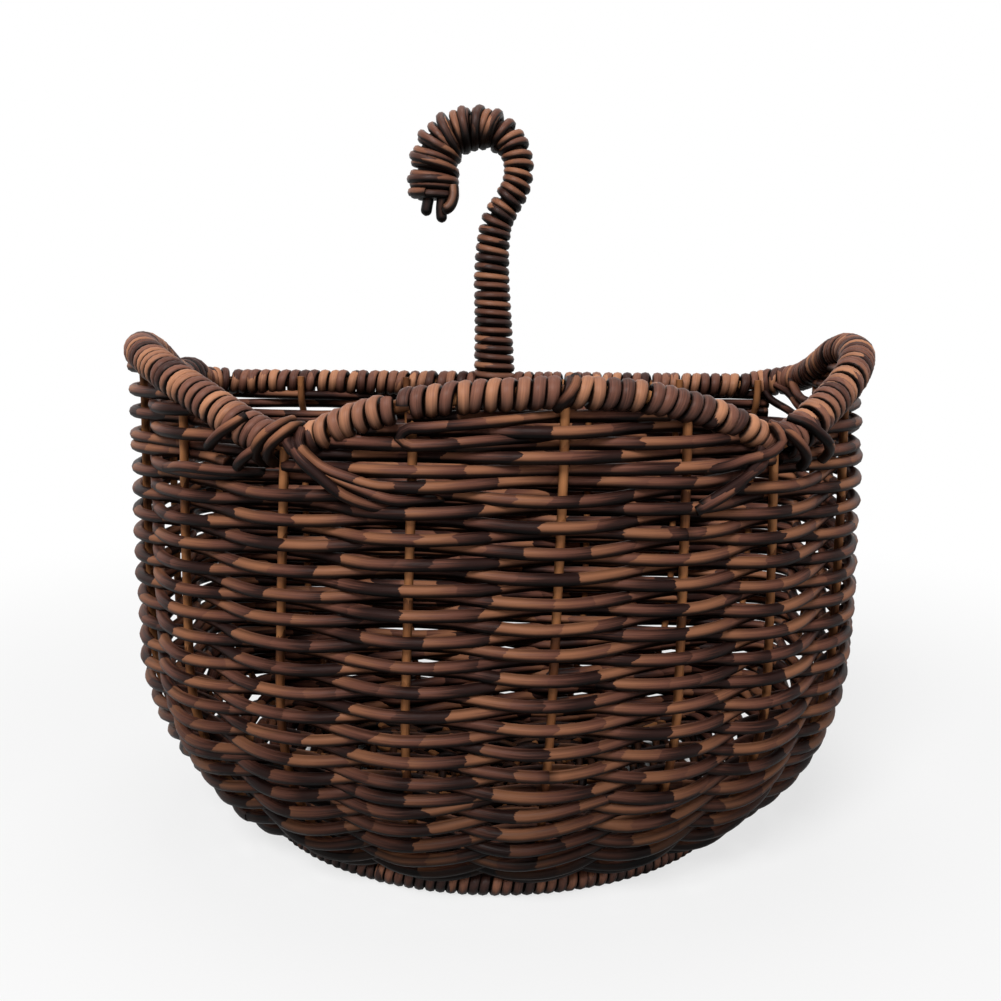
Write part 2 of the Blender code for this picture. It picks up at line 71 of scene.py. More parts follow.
THREAD_SPACING = 0.003

# The short rows: their least distance under the rim, least length, unevenness and bare ends
RIM_CLEARANCE, SHORTEST_ROW, ROW_UNEVENNESS, ROW_END = 0.0045, 0.7, 0.0008, 0.2

# The back stakes stand inside the rim, and the two at the corners stand a little further round
BACK_STAKES, CORNER_STAKES = (1, 2, 15, 16, 17), (2, 15)
BACK_STAKE_TOP, BACK_STAKE_LEAN = 0.2192, 0.0084
LEAN_START, LEAN_HEIGHT = 0.197, 0.010
CORNER_STAKE_SHIFT = 0.1

# Rim, foot, base and hook
RIM_CORE_RADIUS = 0.0028
FOOT_CORE_RADIUS = 0.0018
FOOT_WRAPPED_RADIUS, FOOT_FRONT_EXTRA, FOOT_STRIP = 0.0015, 0.0010, 0.0031
FOOT_FRONT_START, FOOT_FRONT_END = 7.35, 9.4
BASE_CANE_RADIUS = 0.0023
BASE_SWING = 0.0030
BASE_LEVEL = 0.0092
BASE_ROUNDS = 20
LOOSE_RADIUS = 0.0022
HOOK_CORE_RADIUS = 0.004
HOOK_SHIFT = -0.0022
HOOK_FOOT_X, HOOK_FOOT_TOP, HOOK_FOOT_RADIUS = -0.0008, 0.208, 0.0021
TAIL_RADIUS, TAIL_TIP = 0.0031, 0.003

# Height of the rim's centre line at places counted in stakes from the hook, leftwards
RIM_LINE = [(0, .2155), (2.85, .2155), (3.12, .2163), (3.45, .2190), (3.8, .2215), (4.1, .2270),
            (4.4, .2350), (4.7, .2380), (5.3, .2360), (5.8, .2290), (6.25, .2205), (6.65, .2105),
            (7.0, .2030), (7.2, .2065), (7.5, .2145), (7.95, .2217), (8.4, .2251), (9.0, .2270),
            (9.6, .2253), (10.2, .2186), (10.7, .2104), (11.0, .2030), (11.3, .2090), (11.65, .2190),
            (12.1, .2290), (12.55, .2370), (13.1, .2400), (13.5, .2365), (14.0, .2280), (14.65, .2200),
            (15.15, .2155), (18, .2155)]

# How far stakes 5 to 13 stand off their even places, in stakes, near the foot and at the rim,
# and the level and height over which the first go over into the second
FOOT_SHIFTS = [0] * 5 + [-.04, -.10, -.16, -.14, -.045, 0, -.08, -.04, 0] + [0] * 5
RIM_SHIFTS = [0] * 5 + [0, -.05, -.03, -.05, .04, 0, -.15, -.04, 0] + [0] * 5
SHIFT_LEVEL, SHIFT_HEIGHT = 0.06, 0.14

# Distances from the middle between which the floor goes over to plain white
GREY_DISTANCE, WHITE_DISTANCE = 0.22, 0.75

# Share of its colour that a cane keeps in its painted shade, in the grooves and on its underside
PAINTED_SHADE_KEPT = 0.02

LUCK = np.random.default_rng(7)


# The wall

def plan(half_width, depth):
    """The D-shaped plan from the middle of the back, leftwards, with the length along it."""
    corner = CORNER_RADIUS * half_width / BELLY_HALF_WIDTH
    side = SIDE_LENGTH * depth / BELLY_DEPTH
    front = depth - corner - side
    flat = half_width - corner
    steps = np.linspace(0, 1, 40)
    turn = steps * math.pi / 2
    sweep = np.linspace(0, 1, 200) * math.pi
    points = np.vstack([
        np.column_stack([-flat * steps, 0 * steps]),
        np.column_stack([-flat - corner * np.sin(turn), corner * np.cos(turn) - corner]),
        np.column_stack([-half_width + 0 * steps, -corner - side * steps]),
        np.column_stack([-half_width * np.cos(sweep), -corner - side - front * np.sin(sweep)]),
        np.column_stack([half_width + 0 * steps, -corner - side * (1 - steps)]),
        np.column_stack([flat + corner * np.cos(turn), corner * np.sin(turn) - corner]),
        np.column_stack([flat * (1 - steps), 0 * steps])])
    return points, np.concatenate([[0], np.cumsum(np.hypot(*np.diff(points, axis=0).T))])


def bowl(level, seat, belly, rim):
    """A half width or a depth at a level, from the seat out to the belly and in to the rim."""
    if level >= BELLY_HEIGHT:
        return belly + (rim - belly) * min((level - BELLY_HEIGHT) / (BACK_HEIGHT - BELLY_HEIGHT), 1) ** 2
    drop = (BELLY_HEIGHT - level) / (BELLY_HEIGHT - SEAT_HEIGHT)
    return seat + (belly - seat) * math.sqrt(max(1 - drop ** BOWL_SHARE, 0))


def ring(places, half_width, depth, level):
    """Points of one level ring at places counted in stakes; the front stakes stand a little to one side."""
    girth = plan(BELLY_HALF_WIDTH, BELLY_DEPTH)[1][-1]
    drift = FRONT_DRIFT / girth * (1 - np.cos(2 * math.pi * places / STAKES)) / 2
    high = np.clip((level - SHIFT_LEVEL) / SHIFT_HEIGHT, 0, 1)
    lean = (np.interp(places % STAKES, range(STAKES + 1), FOOT_SHIFTS) * (1 - high)
            + np.interp(places % STAKES, range(STAKES + 1), RIM_SHIFTS) * high)
    points, lengths = plan(half_width, depth)
    along = (((places + lean) / STAKES + drift) % 1) * lengths[-1]
    return np.column_stack([np.interp(along, lengths, points[:, 0]),
                            np.interp(along, lengths, points[:, 1]) + BACK_PLANE, 0 * along + level])


class Wall:
    """The middle of the wall as a table of points by level and by place."""
    STEP, TOP = 0.05, 0.26

    def __init__(self):
        low = SEAT_HEIGHT + (BELLY_HEIGHT - SEAT_HEIGHT) * np.linspace(0, 1, 60) ** 2
        self.levels = np.concatenate([low, np.linspace(BELLY_HEIGHT, self.TOP, 36)[1:]])
        places = np.arange(-1, STAKES + 1, self.STEP)
        self.table = np.array([
            ring(places, bowl(level, SEAT_HALF_WIDTH, BELLY_HALF_WIDTH, RIM_HALF_WIDTH),
                 bowl(level, SEAT_DEPTH, BELLY_DEPTH, RIM_DEPTH), level) for level in self.levels])
        self.up = np.gradient(self.table, axis=0)
        self.up /= np.linalg.norm(self.up, axis=2, keepdims=True)
        self.out = np.cross(np.gradient(self.table, axis=1), self.up)
        self.out /= np.linalg.norm(self.out, axis=2, keepdims=True)

    def look(self, table, place, level):
        """Values of a table at any places and levels, in a straight line between its own."""
        place, level = np.broadcast_arrays(np.asarray(place, float), np.asarray(level, float))
        row = np.clip(np.interp(level, self.levels, np.arange(len(self.levels))), 0, len(self.levels) - 1.001)
        column = (place % STAKES + 1) / self.STEP
        r, c = row.astype(int), column.astype(int)
        dr, dc = (row - r)[..., None], (column - c)[..., None]
        return ((table[r, c] * (1 - dc) + table[r, c + 1] * dc) * (1 - dr)
                + (table[r + 1, c] * (1 - dc) + table[r + 1, c + 1] * dc) * dr)

    def point(self, place, level):
        return self.look(self.table, place, level)

    def outward(self, place, level):
        return self.look(self.out, place, level)

    def upward(self, place, level):
        return self.look(self.up, place, level)


WALL = Wall()


def rim_height(place):
    """Height of the rim's centre line, rounded where the measured stretches meet."""
    places, heights = zip(*RIM_LINE)
    place = np.asarray(place, float)
    return sum(np.interp((place + shift) % STAKES, places, heights)
               for shift in np.linspace(-0.12, 0.12, 9)) / 9


def rim_point(place):
    point = WALL.point(place, BACK_HEIGHT)
    point[..., 2] = rim_height(place)
    return point


# Node trees

class Tree:
    """A node tree; node() adds a node with its settings first and then the values or links of its sockets."""

    def __init__(self, tree):
        self.tree = tree
        self.inputs = None

    def node(self, kind, settings=None, **values):
        node = self.tree.nodes.new(kind)
        for key, value in (settings or {}).items():
            setattr(node, key, value)
        for key, value in values.items():
            self.feed(node.inputs[key.replace("_", " ")], value)
        return node

    def first(self, kind, settings=None, **values):
        """The first output of a new node."""
        return self.node(kind, settings, **values).outputs[0]

    def wire(self, kind, settings=None, output=0, vector=False, **values):
        """An output of a new node, ready for an expression."""
        return Wire(self, self.node(kind, settings, **values).outputs[output], vector)

    def feed(self, socket, value):
        if isinstance(value, Wire):
            value = value.socket
        if isinstance(value, bpy.types.NodeSocket):
            self.tree.links.new(value, socket)
        elif value is not None:
            socket.default_value = value

    def number(self, name):
        """A named input of the tree."""
        return Wire(self, self.inputs[name])

    def attribute(self, name, kind="FLOAT"):
        return self.wire("GeometryNodeInputNamedAttribute", {"data_type": kind},
                         vector=kind == "FLOAT_VECTOR", Name=name)

    def store(self, geometry, name, value, kind="FLOAT"):
        return self.first("GeometryNodeStoreNamedAttribute", {"data_type": kind}, Geometry=geometry,
                          Name=name, Value=value)


class Wire:
    """A socket in an expression: numbers go through Math nodes, vectors through Vector Math."""

    def __init__(self, tree, socket, vector=False):
        self.tree, self.socket, self.vector = tree, socket, vector

    def join(self, other, operation, swap=False, scale=False):
        vector = self.vector or (isinstance(other, Wire) and other.vector)
        node = self.tree.tree.nodes.new("ShaderNodeVectorMath" if vector else "ShaderNodeMath")
        node.operation = "SCALE" if scale else operation
        if scale:
            arrow, number = (self, other) if self.vector else (other, self)
            self.tree.feed(node.inputs[0], arrow)
            self.tree.feed(node.inputs["Scale"], number)
            return Wire(self.tree, node.outputs[0], True)
        first, second = (other, self) if swap else (self, other)
        self.tree.feed(node.inputs[0], first)
        self.tree.feed(node.inputs[1], second)
        return Wire(self.tree, node.outputs[0], vector)

    def __add__(self, other): return self.join(other, "ADD")
    def __radd__(self, other): return self.join(other, "ADD")
    def __sub__(self, other): return self.join(other, "SUBTRACT")
    def __rsub__(self, other): return self.join(other, "SUBTRACT", True)

    def __mul__(self, other):
        mixed = self.vector != (isinstance(other, Wire) and other.vector)
        return self.join(other, "MULTIPLY", scale=mixed)

    def __rmul__(self, other): return self * other
    def __truediv__(self, other): return self.join(other, "DIVIDE")

    def apply(self, operation, other=None):
        """One operation by its name. A dot product or a length of vectors is a number."""
        node = self.tree.tree.nodes.new("ShaderNodeVectorMath" if self.vector else "ShaderNodeMath")
        node.operation = operation
        self.tree.feed(node.inputs[0], self)
        if other is not None:
            self.tree.feed(node.inputs[1], other)
        if operation in ("DOT_PRODUCT", "LENGTH"):
            return Wire(self.tree, node.outputs["Value"])
        return Wire(self.tree, node.outputs[0], self.vector)


def new_tree(name, sizes):
    """A geometry tree with named inputs for its sizes; guide lines come in and a finished mesh goes out."""
    group = bpy.data.node_groups.new(name, "GeometryNodeTree")
    group.interface.new_socket("Geometry", in_out="INPUT", socket_type="NodeSocketGeometry")
    for label, default in sizes.items():
        kind = "NodeSocketInt" if isinstance(default, int) else "NodeSocketFloat"
        group.interface.new_socket(label, in_out="INPUT", socket_type=kind).default_value = default
    group.interface.new_socket("Finish", in_out="INPUT", socket_type="NodeSocketMaterial")
    group.interface.new_socket("Geometry", in_out="OUTPUT", socket_type="NodeSocketGeometry")
    group.is_modifier = True
    tree = Tree(group)
    tree.inputs = group.nodes.new("NodeGroupInput").outputs
    return tree


def guide_curve(tree):
    return tree.first("GeometryNodeMeshToCurve", Mesh=tree.inputs["Geometry"])


def sweep(tree, curve, radius, flat=1, outward=None):
    """Ends a tree: sweeps an oval section along a curve, with what the finish reads kept on the mesh."""
    if outward is not None:
        curve = tree.first("GeometryNodeSetCurveNormal", {"mode": "FREE"}, Curve=curve, Normal=outward)
    length = tree.wire("GeometryNodeSplineParameter", output="Length")
    curve = tree.store(curve, "along", length)
    uneven = tree.wire("ShaderNodeTexNoise", {"noise_dimensions": "1D"}, Scale=1, Detail=1,
                       W=length * 55 + tree.attribute("strand") * 91 + tree.number("Seed"))
    thick = (1 + (uneven - 0.5) * tree.number("Uneven")) * radius
    curve = tree.first("GeometryNodeSetCurveRadius", Curve=curve, Radius=thick)
    circle = tree.first("GeometryNodeCurvePrimitiveCircle", Resolution=tree.number("Sides"), Radius=1)
    place = tree.wire("GeometryNodeInputPosition", vector=True)
    circle = tree.store(circle, "section", place, "FLOAT_VECTOR")
    oval = tree.first("ShaderNodeCombineXYZ", X=flat, Y=1, Z=1)
    circle = tree.first("GeometryNodeTransform", Geometry=circle, Scale=oval)
    mesh = tree.first("GeometryNodeCurveToMesh", Curve=curve, Profile_Curve=circle, Fill_Caps=True,
                      Scale=thick)
    mesh = tree.first("GeometryNodeSetShadeSmooth", Geometry=mesh)

    # How far a face looks outward and up; the finish turns it into painted shade in the grooves between canes
    # and on their undersides, and painted light on their upper sides
    normal = tree.wire("GeometryNodeInputNormal", vector=True)
    out = tree.attribute("outward" if outward is not None else "out", "FLOAT_VECTOR")
    across = normal.apply("DOT_PRODUCT", out)
    above = tree.wire("ShaderNodeSeparateXYZ", output=2, Vector=normal)
    if outward is None:
        painted_light = across.apply("ABSOLUTE") * 0.7 + above * 0.6
    else:
        painted_light = across * 0.85 + above * tree.number("Above")
    mesh = tree.store(mesh, "painted_light", painted_light)
    mesh = tree.first("GeometryNodeRealizeInstances", Geometry=mesh)
    mesh = tree.first("GeometryNodeSetMaterial", Geometry=mesh, Material=tree.number("Finish"))
    tree.feed(tree.tree.nodes.new("NodeGroupOutput").inputs[0], mesh)


def cane_tree():
    """Canes that lie along their guide lines."""
    tree = new_tree("laid_cane", {"Cane Radius": 0.002, "Uneven": 0.12, "Sides": 10, "Seed": 1})
    sweep(tree, guide_curve(tree), tree.attribute("thick") * tree.number("Cane Radius"))
    return tree.tree


def weave_tree():
    """Weavers that swing to the outside and the inside of the stakes, and twist where they are twined."""
    tree = new_tree("woven_cane", {"Cane Radius": 0.002, "Swing": 0.0045, "Twist": 0.0024,
                                   "Wander": 0.0008, "Uneven": 0.12, "Sides": 10, "Seed": 1})
    turn = tree.attribute("place") * math.pi
    twine = tree.attribute("twine")
    swing = turn.apply("COSINE")
    swing = swing * (1.12 - swing.apply("ABSOLUTE") * 0.12)
    place = tree.wire("GeometryNodeInputPosition", vector=True)
    stray = tree.wire("ShaderNodeTexNoise", {"noise_dimensions": "4D"}, output="Color", vector=True,
                      Vector=place, Scale=26, Detail=1,
                      W=tree.attribute("strand") * 37 + tree.number("Seed"))
    shift = (tree.attribute("out", "FLOAT_VECTOR") * (swing * tree.number("Swing"))
             + tree.attribute("up", "FLOAT_VECTOR") * (turn.apply("SINE") * twine * tree.number("Twist"))
             + (stray - (0.5, 0.5, 0.5)) * tree.number("Wander"))
    curve = tree.first("GeometryNodeSetPosition", Geometry=guide_curve(tree), Offset=shift)
    sweep(tree, curve, tree.attribute("thick") * tree.number("Cane Radius"))
    return tree.tree


def winding_tree():
    """A flat strip of cane wound round a core whose radius the guide line carries."""
    # Above weighs the upper side of each turn in the painted light, so that its lower side falls into painted
    # shade
    tree = new_tree("wound_cane", {"Strip Half Width": 0.0026, "Flatness": 0.6, "Turn Pitch": 0.0054,
                                   "Turn Steps": 18, "Wander": 0.5, "Start": 0.0, "Above": 0.4,
                                   "Uneven": 0.1, "Sides": 8, "Seed": 1})
    pitch = tree.number("Turn Pitch")
    curve = tree.first("GeometryNodeResampleCurve", {"mode": "LENGTH"}, Curve=guide_curve(tree),
                       Length=pitch / tree.number("Turn Steps"))
    length = tree.wire("GeometryNodeSplineParameter", output="Length")
    stray = tree.wire("ShaderNodeTexNoise", {"noise_dimensions": "1D"}, Scale=1, Detail=1,
                      W=length / pitch * 0.9 + tree.number("Seed") * 17.3) - 0.5
    turn = length / pitch * (-2 * math.pi) + tree.number("Start")
    along = tree.wire("GeometryNodeInputTangent", vector=True)
    across = tree.wire("GeometryNodeInputNormal", vector=True)
    side = along.apply("CROSS_PRODUCT", across)
    outward = across * turn.apply("COSINE") + side * turn.apply("SINE")
    half = tree.number("Strip Half Width")
    wander = tree.number("Wander")
    reach = tree.attribute("thick") + half * tree.number("Flatness") + half * stray * 0.25 * wander
    curve = tree.store(curve, "outward", outward, "FLOAT_VECTOR")
    curve = tree.first("GeometryNodeSetPosition", Geometry=curve,
                       Offset=outward * reach + along * (pitch * stray * wander))
    sweep(tree, curve, half, tree.number("Flatness"), tree.attribute("outward", "FLOAT_VECTOR"))
    return tree.tree


TREES = {"cane": cane_tree(), "weave": weave_tree(), "wound": winding_tree()}


def guide(name, lines):
    """A mesh of guide lines. A line is a dict of points and of values for each point."""
    mesh = bpy.data.meshes.new(name)
    points = np.vstack([line["points"] for line in lines])
    edges, start = [], 0
    for line in lines:
        count = len(line["points"])
        edges += [(start + n, start + n + 1) for n in range(count - 1)]
        start += count
    mesh.from_pydata([tuple(point) for point in points], edges, [])
    shapes = {"thick": 1, "strand": 1, "tint": 1, "place": 1, "twine": 1, "out": 3, "up": 3}
    for key, size in shapes.items():
        if key not in lines[0] and key not in ("strand", "tint"):
            continue
        values = []
        for line in lines:
            count = len(line["points"])
            value = line.get(key, LUCK.random() if key == "strand" else 0)
            values.append(np.broadcast_to(value, (count, 3) if size == 3 else count))
        layer = mesh.attributes.new(key, "FLOAT_VECTOR" if size == 3 else "FLOAT", "POINT")
        numbers = np.concatenate(values).astype(np.float32).ravel()
        layer.data.foreach_set("vector" if size == 3 else "value", numbers)
    thing = bpy.data.objects.new(name, mesh)
    bpy.context.collection.objects.link(thing)
    return thing


def grow(name, lines, tree, finish, nodes=(), slot=None, **sizes):
    """Makes a finished piece from guide lines: runs the tree, keeps its mesh and drops the modifier."""
    thing = guide(name, lines)
    modifier = thing.modifiers.new(name, "NODES")
    modifier.node_group = TREES[tree]
    sockets = {item.name: item.identifier for item in TREES[tree].interface.items_tree
               if item.in_out == "INPUT"}
    modifier[sockets["Finish"]] = finish
    for key, value in sizes.items():
        modifier[sockets[key.replace("_", " ")]] = value
    bpy.context.view_layer.update()
    mesh = bpy.data.meshes.new_from_object(thing.evaluated_get(bpy.context.evaluated_depsgraph_get()))
    guide_mesh = thing.data
    thing.modifiers.remove(modifier)
    thing.data = mesh
    bpy.data.meshes.remove(guide_mesh)
    mesh.name = name
    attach(thing, "root")
    if nodes:
        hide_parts(*nodes)


# Finishes

def shader(name, roughness, gloss):
    """A new material with its tree and its surface."""
    material = bpy.data.materials.new(name)
    material.use_nodes = True
    surface = material.node_tree.nodes["Principled BSDF"]
    surface.inputs["Roughness"].default_value = roughness
    surface.inputs["Specular IOR Level"].default_value = gloss
    return material, Tree(material.node_tree), surface


def blend(tree, amount, first, second):
    """Mixes two colours by a number."""
    node = tree.tree.nodes.new("ShaderNodeMix")
    node.data_type = "RGBA"
    node.clamp_factor = True
    tree.feed(node.inputs[0], amount)
    for socket, colour in ((node.inputs[6], first), (node.inputs[7], second)):
        tree.feed(socket, colour if isinstance(colour, Wire) else (*colour, 1))
    return Wire(tree, node.outputs[2], True)


def rise(tree, value, low, high):
    """A smooth step of a number between two limits."""
    return tree.wire("ShaderNodeMapRange", {"interpolation_type": "SMOOTHSTEP"}, Value=value,
                     From_Min=low, From_Max=high)


def cane_finish(name, pale, middle, dark, patch, pale_share, dark_share, fade=0.8, edge=0.36,
                gloss=0.07, roughness=0.42, streak=0.7):
    """Stained cane: patches of tone with abrupt slanted ends and fine grain along it, with painted shade in
    the grooves and on the underside and painted light on the upper side.
    """
    material, tree, surface = shader(name, roughness, gloss)

    def kept(attribute, output="Fac"):
        return tree.wire("ShaderNodeAttribute", {"attribute_name": attribute}, output, output == "Vector")

    along, strand, section = kept("along"), kept("strand"), kept("section", "Vector")

    def spread(length_scale, strand_scale):
        return tree.wire("ShaderNodeCombineXYZ", vector=True, X=along * length_scale,
                         Y=strand * strand_scale)

    def noise(where, detail, rough=0.5, dimensions="3D"):
        return tree.wire("ShaderNodeTexNoise", {"noise_dimensions": dimensions}, Vector=where, Scale=1,
                         Detail=detail, Roughness=rough)

    # Ragged ends of the patches, fine grain and slow changes along the cane
    ragged = noise(section * 0.6 + spread(60, 83), 1)
    grain = noise(section * 4.5 + spread(55, 61), 3, 0.6)
    cloud = noise(spread(9, 47), 1, dimensions="2D")

    # A patch has a tone of its own that fades along it
    slant = tree.wire("ShaderNodeSeparateXYZ", output=1, Vector=section)
    spot = along / patch + strand * 193 + slant * 0.05 + (ragged - 0.5) * 0.45 + (grain - 0.5) * 0.12
    cells = tree.node("ShaderNodeTexVoronoi", {"voronoi_dimensions": "1D"}, W=spot, Scale=1)
    tone = tree.wire("ShaderNodeSeparateColor", Color=cells.outputs["Color"])
    tone = 0.15 + tone * 0.7 - (spot - Wire(tree, cells.outputs["W"])) * fade
    tone = tone + (grain - 0.5) * streak + (cloud - 0.5) * 0.5 + kept("tint")

    # Three colours by tone, then painted shade where the cane turns away into a groove or downward, and
    # painted light where it turns up
    colour = blend(tree, rise(tree, tone, dark_share - 0.30, dark_share + 0.25), dark, middle)
    colour = blend(tree, rise(tree, tone, 1 - pale_share - 0.25, 1 - pale_share + 0.45), colour, pale)
    colour = colour * (PAINTED_SHADE_KEPT + rise(tree, kept("painted_light"), edge, 1.0) * (1 - PAINTED_SHADE_KEPT))
    tree.feed(surface.inputs["Base Color"], colour)
    tree.feed(surface.inputs["Roughness"], roughness + (grain - 0.5) * 0.3)
    bump = tree.first("ShaderNodeBump", Strength=0.5, Distance=0.0004, Height=grain)
    tree.feed(surface.inputs["Normal"], bump)
    return material


def floor_finish(name, colour, far_white):
    """The pale floor, which turns to plain white away from the basket's foot."""
    material, tree, surface = shader(name, roughness=0.9, gloss=0.1)
    surface.inputs["Base Color"].default_value = (*colour, 1)
    seen = tree.wire("ShaderNodeLightPath", output="Is Camera Ray")
    place = tree.wire("ShaderNodeTexCoord", output="Object", vector=True)
    far = rise(tree, place.apply("LENGTH"), GREY_DISTANCE, WHITE_DISTANCE)

    # The floor under the base stays as it is, seen through the weave
    shrink = tree.wire("ShaderNodeCombineXYZ", vector=True, X=1 / FOOT_HALF_WIDTH, Y=1 / FOOT_DEPTH, Z=0)
    below = ((place - (0, BACK_PLANE, 0)) * shrink).apply("LENGTH")
    depth = tree.wire("ShaderNodeSeparateXYZ", output=1, Vector=place)
    behind = rise(tree, depth, BACK_PLANE - 0.008, BACK_PLANE)
    beside = rise(tree, below, 0.90, 1.0).apply("MAXIMUM", behind)
    share = seen * beside * (far_white + far * (1 - far_white))
    glow = tree.first("ShaderNodeEmission", Color=(1, 1, 1, 1), Strength=1)
    mix = tree.node("ShaderNodeMixShader")
    for socket, value in zip(mix.inputs, (share, surface.outputs[0], glow)):
        tree.feed(socket, value)
    tree.feed(tree.tree.nodes["Material Output"].inputs[0], mix.outputs[0])
    return material


STAINED = cane_finish("stained_cane_finish", (0.345, 0.144, 0.074), (0.165, 0.065, 0.044),
                      (0.027, 0.011, 0.009), patch=0.021, pale_share=0.34, dark_share=0.28,
                      fade=0.70, edge=0.36, streak=1.0)
HONEY = cane_finish("honey_cane_finish", (0.480, 0.205, 0.082), (0.350, 0.142, 0.056),
                    (0.150, 0.056, 0.025), patch=0.03, pale_share=0.4, dark_share=0.12, edge=-0.6)
RIM = cane_finish("rim_cane_finish", (0.520, 0.235, 0.125), (0.205, 0.085, 0.057),
                  (0.045, 0.018, 0.014), patch=0.036, pale_share=0.38, dark_share=0.22,
                  fade=0.5, edge=0.38, gloss=0.12, roughness=0.40)
# Near-black cane, which stands for shade: painted shade on the base inside the basket and on the hook's core
# between its turns
PAINTED_SHADE_CANE = cane_finish("painted_shade_cane_finish", (0.085, 0.036, 0.019), (0.042, 0.018, 0.012),
                   (0.012, 0.006, 0.005), patch=0.014, pale_share=0.35, dark_share=0.3)
HOOK = cane_finish("hook_cane_finish", (0.350, 0.150, 0.081), (0.158, 0.062, 0.039),
                   (0.040, 0.017, 0.013), patch=0.045, pale_share=0.42, dark_share=0.24,
                   fade=0.4, edge=0.52, gloss=0.15, roughness=0.38)


# Lines of the pieces

def steady(points, passes=2):
    """Rounds a run of points while its ends stay."""
    points = np.array(points, float)
    for _ in range(passes):
        points[1:-1] = (points[:-2] + 2 * points[1:-1] + points[2:]) / 4
    return points


def spaced(points, spacing):
    """Points at an even spacing along a smooth line through a few points."""
    points = np.array(points, float)
    lengths = np.concatenate([[0], np.cumsum(np.linalg.norm(np.diff(points[:, :3], axis=0), axis=1))])
    count = max(2, round(lengths[-1] / spacing)) + 1
    marks = np.linspace(0, lengths[-1], count)
    slopes = np.gradient(points, lengths, axis=0)
    index = np.clip(np.searchsorted(lengths, marks, side="right") - 1, 0, len(points) - 2)
    span = (lengths[index + 1] - lengths[index])[:, None]
    t = ((marks - lengths[index])[:, None]) / span
    return ((2 * t ** 3 - 3 * t ** 2 + 1) * points[index]
            + (t ** 3 - 2 * t ** 2 + t) * span * slopes[index]
            + (3 * t ** 2 - 2 * t ** 3) * points[index + 1]
            + (t ** 3 - t ** 2) * span * slopes[index + 1])


def row_height(row, place):
    return FIRST_ROW + ROW_PITCH * (row + 2 * place / STAKES)


def on_wall(place, level, twine, phase, strand):
    """A stretch of a weaver. It swings less where it starts, where the wall turns in to the base."""
    up = WALL.upward(place, level)
    reach = np.clip((place - WEAVE_START + SWING_LEAD) / STAKES, LEAST_SWING, 1)[:, None]

    # It is thicker along the back and where it is twined, and thickest where it is both
    behind = np.cos(2 * math.pi * place / STAKES)
    thick = (1 + BACK_EXTRA * np.maximum(behind, 0.7 * twine)
             + TWINE_EXTRA * twine * np.clip(behind + 0.4, 0, 1))
    # The shortened outward arrow also deepens the painted shade on these rows
    out = (WALL.outward(place, level) - up * WEAVE_SAG) * reach
    return {"points": WALL.point(place, level), "out": out, "up": up, "place": place + phase,
            "twine": twine, "thick": thick, "strand": strand}


def weaver(family, last_place):
    """One of the two weavers: twined round the foot of the bowl, then in plain rows up to the valleys."""
    places = np.arange(WEAVE_START, last_place, WEAVE_STEP)

    # Twined, it climbs slowly from the seat over the first turns, and then evenly
    climb = np.clip(1 + places / (CLIMB_TURNS * STAKES), LEAST_CLIMB, 1)
    twined = np.where(places < 0, SEAT_HEIGHT + (TWINE_BASE - SEAT_HEIGHT) * climb * climb,
                      TWINE_BASE + TWINE_PITCH * places / STAKES)

    # Near the end of the last twined turn it goes over into the plain rows
    ends = TWINE_TURNS * STAKES
    plain = FIRST_ROW + ROW_PITCH * (FIRST_PLAIN_ROW + family + 2 * (places - ends) / STAKES)
    share = np.clip((places - ends + CHANGE_LEAD) / CHANGE_LENGTH, 0, 1)
    share = share * share * (3 - 2 * share)
    return places, twined * (1 - share) + plain * share, 1 - share


def weave_lines(family, last_place, lengths):
    """A weaver as the lengths of cane that it is made of."""
    places, level, twine = weaver(family, last_place)
    lines = []
    start = 0
    for span in lengths:
        stop = min(start + int(span / WEAVE_STEP), len(places))
        cut = slice(start, stop + 1)
        if stop - start > 3:
            lines.append(on_wall(places[cut], level[cut], twine[cut], family, LUCK.random()))
        start = stop
    return lines


def thread(knots, **values):
    """A length of cane through knots of place, level and distance outward from the middle of the wall."""
    knots = np.array(knots, float)
    points = WALL.point(knots[:, 0], knots[:, 1]) + WALL.outward(knots[:, 0], knots[:, 1]) * knots[:, 2:3]
    run = spaced(np.hstack([points, knots[:, :2]]), THREAD_SPACING)
    return {"points": run[:, :3], "out": WALL.outward(run[:, 3], run[:, 4]), "thick": 1.0, **values}


def short_rows(rows, start, end, drop):
    """Rows that end under the rim, as (middle place, thread) pairs."""
    found = []
    places = np.arange(start, end, 0.02)
    for row in rows:
        free = row_height(row, places) - drop < rim_height(places) - RIM_CLEARANCE
        changes = np.flatnonzero(np.diff(np.concatenate([[0], free.astype(int), [0]])))
        for first, last in changes.reshape(-1, 2):
            low, high = places[first], places[last - 1]
            if high - low < SHORTEST_ROW:
                continue
            stakes = np.arange(math.ceil(low + ROW_END), high - ROW_END)
            knots = [(low, row_height(row, low) - drop, 0.0)]
            knots += [(stake, row_height(row, stake) - drop + ROW_UNEVENNESS * (LUCK.random() - 0.5),
                       WEAVE_SWING * (1 if (stake + row) % 2 == 0 else -1)) for stake in stakes]
            knots.append((high, row_height(row, high) - drop, 0.0))
            found.append(((low + high) / 2, thread(knots)))
    return found


def short_row_name(middle):
    """The stretch of wall that a short row belongs to."""
    place = middle % STAKES
    for name, low, high in (("left_ear_fill", 3, 7), ("arch_fill", 7, 11), ("right_ear_fill", 11, 15)):
        if low < place < high:
            return name
    return "back_fill"


